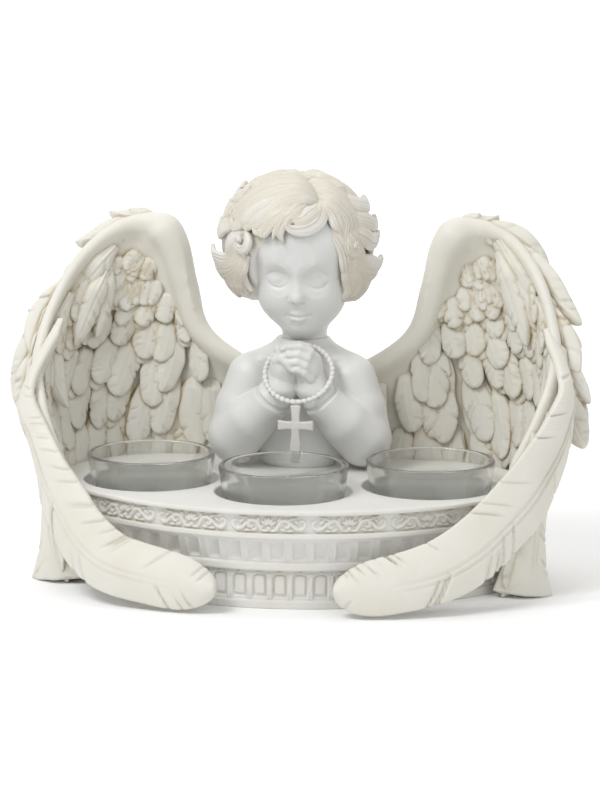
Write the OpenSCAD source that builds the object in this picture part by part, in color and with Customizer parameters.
// Praying cherub figurine with three glass tealight cups.
// Cast resin sections are pinned and bonded together; the glass cups lift out.
// Millimetres, +Z up. The origin is on the resting plane, on the mirror plane X = 0.

/* [Glass cups] */
// Outer radius of a cup at its rim
cup_rim_r = 28; // [27:0.5:28.5]
// Outer radius of a cup at its foot
cup_foot_r = 23.5; // [22:0.5:25]
// Height of a cup
cup_h = 32; // [30:1:36]
// Wall thickness of a cup
cup_wall = 2.2; // [1.8:0.1:2.6]

/* [Altar base] */
// Height of the shelf above the table
shelf_z = 43; // [42:1:46]
// Radius of the shelf's front edge in plan
front_r = 128; // [126:1:130]
// Distance of the front edge from the origin
front_y = 66.5; // [66:0.5:68]
// Radius of each cup well
well_r = 29.35; // [29.2:0.05:29.6]
// Depth of each cup well
well_depth = 20.5; // [18:0.5:22]
// Sideways distance of the outer wells from the middle
well_x = 61; // [60.5:0.5:61.5]

/* [Wings] */
// Thickness of a wing wall
wing_t = 8; // [7:0.5:8.5]
// Thickness of the long front plume
plume_t = 6; // [5:0.5:6.5]

/* [Rosary and cross] */
// Radius of the strand's circle
strand_r = 14.8; // [14.5:0.1:15]
// Number of beads on the strand
bead_count = 38; // [34:2:42]
// Radius of a bead
bead_r = 1.25; // [1.1:0.05:1.3]
// Length of the cross
cross_h = 25.5; // [24:0.5:26]
// Width across the arms of the cross
cross_w = 15.6; // [14:0.2:17]

/* [Hidden] */
$fn = 96;

// Shared places
mid_well_y = -25;                 // centre of the middle well
side_well_y = -6;                 // centre of the outer wells
well_floor_z = shelf_z - well_depth;
front_centre_y = front_r - front_y;
base_back_y = 47;                 // back face of the base
corner_r = 45;                    // plan radius of the base's back corners
corner_x = 57;
corner_y = base_back_y - corner_r;
overlap = 1;                      // how far a cutting solid runs past a face

// Front profile of the altar: [how far in from the shelf edge, height]
front_profile = [[0, shelf_z], [0, 41.4], [2.2, 40.6], [2.2, 33.4], [0.8, 33.0], [0.8, 31.0],
                 [2.4, 30.6], [5.4, 20.2], [4.4, 19.6], [4.4, 16.8], [6.6, 16.4], [6.6, 3.6],
                 [5.8, 3.4], [5.8, 0]];

// Dowels: radius and the bore that leaves a glue film round it
dowel_r = 2;
bore_r = 2.1;

// Catmull-Rom point between b and c
function catmull(a, b, c, d, t) =
    0.5 * (2 * b + (c - a) * t + (2 * a - 5 * b + 4 * c - d) * t * t + (3 * b - a - 3 * c + d) * t * t * t);

// Smooth run through the stations p, with n steps for each span
function smooth_run(p, n) = [
    for (i = [0 : len(p) - 2], k = [0 : n - (i == len(p) - 2 ? 0 : 1)])
        catmull(p[max(i - 1, 0)], p[i], p[i + 1], p[min(i + 2, len(p) - 1)], k / n)
];

// Unit vector in plan at right angles to the run p at index i
function plan_normal(p, i) =
    let (d = p[min(i + 1, len(p) - 1)] - p[max(i - 1, 0)], m = norm([d[0], d[1]]))
    [d[1] / m, -d[0] / m, 0];

// Closed skin over a list of equal rings, with a flat face at each end
module skin(rings) {
    n = len(rings[0]);
    last = len(rings) - 1;
    points = [for (ring = rings, p = ring) p];
    sides = [for (i = [0 : last - 1], k = [0 : n - 1])
        [i * n + k, (i + 1) * n + k, (i + 1) * n + (k + 1) % n, i * n + (k + 1) % n]];
    ends = [[for (k = [0 : n - 1]) k], [for (k = [n - 1 : -1 : 0]) last * n + k]];
    polyhedron(points = points, faces = concat(sides, ends), convexity = 8);
}

// Plan outline of the altar base
module base_plan() {
    intersection() {
        translate([0, front_centre_y]) circle(r = front_r, $fn = 180);
        union() {
            translate([-corner_x, -80]) square([2 * corner_x, 80 + base_back_y]);
            translate([-corner_x - corner_r, -80]) square([2 * (corner_x + corner_r), 80 + corner_y]);
            for (s = [-1, 1]) translate([s * corner_x, corner_y]) circle(r = corner_r);
        }
    }
}

// Solid of revolution that gives the altar its moulded front
module front_moulding() {
    translate([0, front_centre_y, 0])
        rotate_extrude($fn = 180)
            polygon(concat([[0, 0], [0, shelf_z]], [for (p = front_profile) [front_r - p[0], p[1]]]));
}

module dowel(length, r = dowel_r) {
    cylinder(r = r, h = length, $fn = 32);
}

// Where each dowel starts, and its direction as a rotation
module at_base_dowel() translate([0, 32, shelf_z - 12]) children();
module at_neck_dowel() translate([0, 37, 91.5]) children();
module at_wrist_dowels() for (s = [-1, 1]) translate([s * 6.5, 14.5, 76]) children();
module at_wing_dowels() for (s = [-1, 1]) translate([s * 15, 34, 77]) rotate([-90, 0, 0]) children();
module at_foot_dowels() for (s = [-1, 1]) translate([s * 40, 40, 22]) rotate([-90, 0, 0]) children();
module at_plume_dowels() for (s = [-1, 1]) translate([s * 107.5, -13, 72]) rotate([0, s * 90, 0]) children();

// A bore runs a little past the dowel's start
module bore(length) translate([0, 0, -0.5]) dowel(length + 0.5, bore_r);

module altar_base() color("ivory") {
    difference() {
        intersection() {
            linear_extrude(height = shelf_z) base_plan();
            front_moulding();
        }
        translate([0, mid_well_y, well_floor_z]) cylinder(r = well_r, h = well_depth + overlap);
        for (s = [-1, 1])
            translate([s * well_x, side_well_y, well_floor_z]) cylinder(r = well_r, h = well_depth + overlap);
        at_base_dowel() bore(12 + overlap);
        at_foot_dowels() bore(7 + overlap);
    }
}

// A limb is a tapered round run between two ball ends
module limb(a, ra, b, rb) {
    hull() {
        translate(a) sphere(r = ra, $fn = 32);
        translate(b) sphere(r = rb, $fn = 32);
    }
}

// Bonded flat seats between the castings
seat_z = shelf_z + 0.1;           // underside of the torso
wrist_seat_z = 82;                // top of the forearms
neck_seat_z = 99.5;               // top of the neck
back_seat_y = 46.4;               // where the wing roots meet the back

// One side of an arm, as [centre, radius]
shoulder = [[22.5, 31, 82], 10.8];
elbow = [[28.8, 25, 56.5], 12];
wrist = [[6.5, 15.1, 79], 6.8];

module arm(s) {
    side = [[s, 0, 0], [0, 1, 0], [0, 0, 1]];
    limb(side * shoulder[0], shoulder[1], side * elbow[0], elbow[1]);
    limb(side * elbow[0], elbow[1], side * wrist[0], wrist[1]);
}

module torso() color("white") {
    difference() {
        union() {
            hull() {
                for (s = [-1, 1]) translate([s * 14, 34, 79]) sphere(r = 13.5, $fn = 32);
                translate([0, 31, 57]) sphere(r = 15, $fn = 32);
            }
            translate([0, 31, seat_z]) cylinder(r = 15, h = 14, $fn = 48);
            translate([0, 37.5, 88]) cylinder(r = 11, h = neck_seat_z - 88, $fn = 48);
            for (s = [-1, 1]) arm(s);
        }
        translate([-60, -20, seat_z - 30]) cube([120, 100, 30]);
        translate([-14, 0, wrist_seat_z]) cube([28, 22.8, 16]);
        translate([-40, back_seat_y, seat_z]) cube([80, 20, 60]);
        at_base_dowel() bore(36);
        at_neck_dowel() bore(8 + overlap);
        at_wrist_dowels() bore(6 + overlap);
        at_wing_dowels() bore(13 + overlap);
    }
}

module praying_hands() color("white") {
    difference() {
        hull() {
            for (s = [-1, 1]) {
                translate([s * 4.5, 14.5, 87.5]) sphere(r = 8, $fn = 32);
                translate([s * 3.8, 14, 93.4]) sphere(r = 7.2, $fn = 32);
            }
        }
        translate([-30, -10, wrist_seat_z - 19.9]) cube([60, 60, 20]);
        at_wrist_dowels() bore(13);
    }
}

module head() color("white") {
    difference() {
        union() {
            // face
            hull() {
                for (s = [-1, 1]) {
                    translate([s * 4.5, 25, 112]) sphere(r = 10.5, $fn = 32);
                    translate([s * 8, 27.5, 122]) sphere(r = 14.5, $fn = 32);
                }
                translate([0, 32, 137]) sphere(r = 23.5, $fn = 32);
            }
            // curls over the top and round the sides and back
            hull() {
                for (s = [-1, 1]) {
                    translate([s * 25, 35, 138]) sphere(r = 12.5, $fn = 32);
                    translate([s * 20, 40, 124]) sphere(r = 11, $fn = 32);
                    translate([s * 8, 37, 147.5]) sphere(r = 25.5, $fn = 32);
                }
                translate([0, 47, 130]) sphere(r = 17, $fn = 32);
            }
            translate([0, 37.5, neck_seat_z + 0.1]) cylinder(r = 10.5, h = 16, $fn = 48);
        }
        translate([-40, -20, neck_seat_z - 19.9]) cube([80, 100, 20]);
        at_neck_dowel() bore(16);
    }
}

// Wing wall. Each station is [foot x, foot y, top x, top y, top z, outward bulge].
wing_stations = [
    [9, 52, 9, 50.5, 80, 0.5], [29, 52, 30, 51.5, 90, 0.5], [42, 52, 46, 52.5, 103, 1], [50, 52, 52.5, 54, 120, 2],
    [58, 52, 55.5, 56, 140, 3], [66, 51.2, 62, 57, 151, 3], [78, 47.4, 76, 57, 152, 4], [90, 39.5, 91, 51, 147, 5],
    [100, 27.3, 104, 37, 134, 6], [106, 12.5, 112, 21, 116, 5], [107, 0, 114.5, 5, 99, 4],
    [107, -12, 112.5, -6, 87, 1], [104.8, -21, 108, -17, 76, 0.5], [98, -30, 101, -28.5, 58, 0.5]
];
wing_run = smooth_run(wing_stations, 3);
wing_foot = [for (w = wing_run) [w[0], w[1], 0]];
wing_top = [for (w = wing_run) [w[2], w[3], w[4]]];

// Across the wall: [share of the height, share of the half thickness, outward positive]
wall_section = [[0, 1], [0.25, 1], [0.5, 1], [0.75, 1], [0.93, 0.95], [0.985, 0.6], [1, 0],
                [0.985, -0.6], [0.93, -0.95], [0.75, -1], [0.5, -1], [0.25, -1], [0, -1]];

function wall_ring(i) =
    let (out = -plan_normal(wing_foot, i))
    [for (c = wall_section)
        let (u = c[0])
        wing_foot[i] * (1 - u) + wing_top[i] * u
            + out * (wing_run[i][5] * 4 * u * (1 - u) + c[1] * wing_t / 2)];

module wing() {
    difference() {
        skin([for (i = [0 : len(wing_run) - 1]) wall_ring(i)]);
        at_wing_dowels() bore(20);
        at_foot_dowels() bore(14);
        at_plume_dowels() bore(11.5);
    }
}

// Long front plume. Each station is [x, y, z of its middle line, half width].
plume_stations = [
    [120.5, -7, 84, 8], [118, -15, 74, 11.5], [113.5, -24, 63.5, 12.6], [107.5, -34, 54, 13], [101.5, -41, 44.5, 13],
    [94, -48, 35.5, 13], [86, -54, 28, 13.4], [76, -59.8, 21.5, 13.2], [66, -64, 17.5, 12.8],
    [53, -68.2, 14.5, 12.2], [38, -71.4, 12, 11.5], [27, -72.6, 10.8, 9]
];
plume_run = smooth_run(plume_stations, 3);
plume_line = [for (p = plume_run) [p[0], p[1], p[2]]];
plume_section = [for (k = [0 : 11]) [cos(k * 30), sign(sin(k * 30)) * pow(abs(sin(k * 30)), 0.6)]];

function plume_ring(i) =
    let (d = plume_line[min(i + 1, len(plume_line) - 1)] - plume_line[max(i - 1, 0)],
         out = -plan_normal(plume_line, i),
         across = cross(out, d) / norm(d))
    [for (c = plume_section) plume_line[i] + across * c[0] * plume_run[i][3] + out * c[1] * plume_t / 2];

module plume() {
    difference() {
        intersection() {
            skin([for (i = [0 : len(plume_run) - 1]) plume_ring(i)]);
            translate([0, -120, 0]) cube([160, 160, 160]);
        }
        at_plume_dowels() bore(11.5);
    }
}

// The strand of beads hangs round the wrists in a leaning plane, with the cross at its lowest bead
strand_centre = [1, 14.15, 87];
strand_tilt = 48.5;

module rosary_strand() color("ivory") {
    translate(strand_centre) rotate([strand_tilt, 0, 0]) {
        for (i = [0 : bead_count - 1])
            rotate([0, 0, i * 360 / bead_count]) translate([strand_r, 0, 0]) sphere(r = bead_r, $fn = 24);
        rotate_extrude() translate([strand_r, 0]) circle(r = 0.6, $fn = 24);
    }
}

cross_top_z = 74.5;
cross_arm_drop = 7;               // from the top to the upper edge of the arms
cross_bar = 3.9;
cross_t = 2.4;
cross_y = 3.4;                    // front face

module cross_piece() color("ivory") {
    translate([strand_centre[0] - cross_bar / 2, cross_y, cross_top_z - cross_h])
        cube([cross_bar, cross_t, cross_h]);
    translate([strand_centre[0] - cross_w / 2, cross_y, cross_top_z - cross_arm_drop - cross_bar])
        cube([cross_w, cross_t, cross_bar]);
}

// Glass cup on its own axis, standing on z = 0
cup_floor = 3.5;
cup_lip_r = cup_wall / 2;
module glass_cup() color("lightcyan", 0.4) {
    rotate_extrude()
        union() {
            polygon([[0, 0.6], [cup_foot_r - 5, 0.6], [cup_foot_r - 4, 0], [cup_foot_r - 1, 0], [cup_foot_r, 1],
                     [cup_rim_r, cup_h - cup_lip_r], [cup_rim_r - cup_wall, cup_h - cup_lip_r],
                     [cup_foot_r - cup_wall - 0.2, cup_floor + 2.5], [cup_foot_r - cup_wall - 2, cup_floor],
                     [0, cup_floor]]);
            translate([cup_rim_r - cup_lip_r, cup_h - cup_lip_r]) circle(r = cup_lip_r, $fn = 32);
        }
}

module base_dowel() color("silver") at_base_dowel() translate([0, 0, 0.3]) dowel(35);
module neck_dowel() color("silver") at_neck_dowel() dowel(15.5);
module wrist_dowels() color("silver") at_wrist_dowels() dowel(12.5);
module wing_dowels() color("silver") {
    at_wing_dowels() dowel(17.5);
    at_foot_dowels() dowel(13.5);
}
module plume_dowels() color("silver") at_plume_dowels() dowel(8.5);

altar_base();
torso();
praying_hands();
head();
color("linen") mirror([1, 0, 0]) wing();  // wing_left
color("linen") wing();  // wing_right
color("linen") mirror([1, 0, 0]) plume();  // plume_left
color("linen") plume();  // plume_right
rosary_strand();
cross_piece();  // cross
translate([-well_x, side_well_y, well_floor_z]) glass_cup();  // glass_cup_left
translate([0, mid_well_y, well_floor_z]) glass_cup();  // glass_cup_centre
translate([well_x, side_well_y, well_floor_z]) glass_cup();  // glass_cup_right
base_dowel();
neck_dowel();
wrist_dowels();
wing_dowels();
plume_dowels();
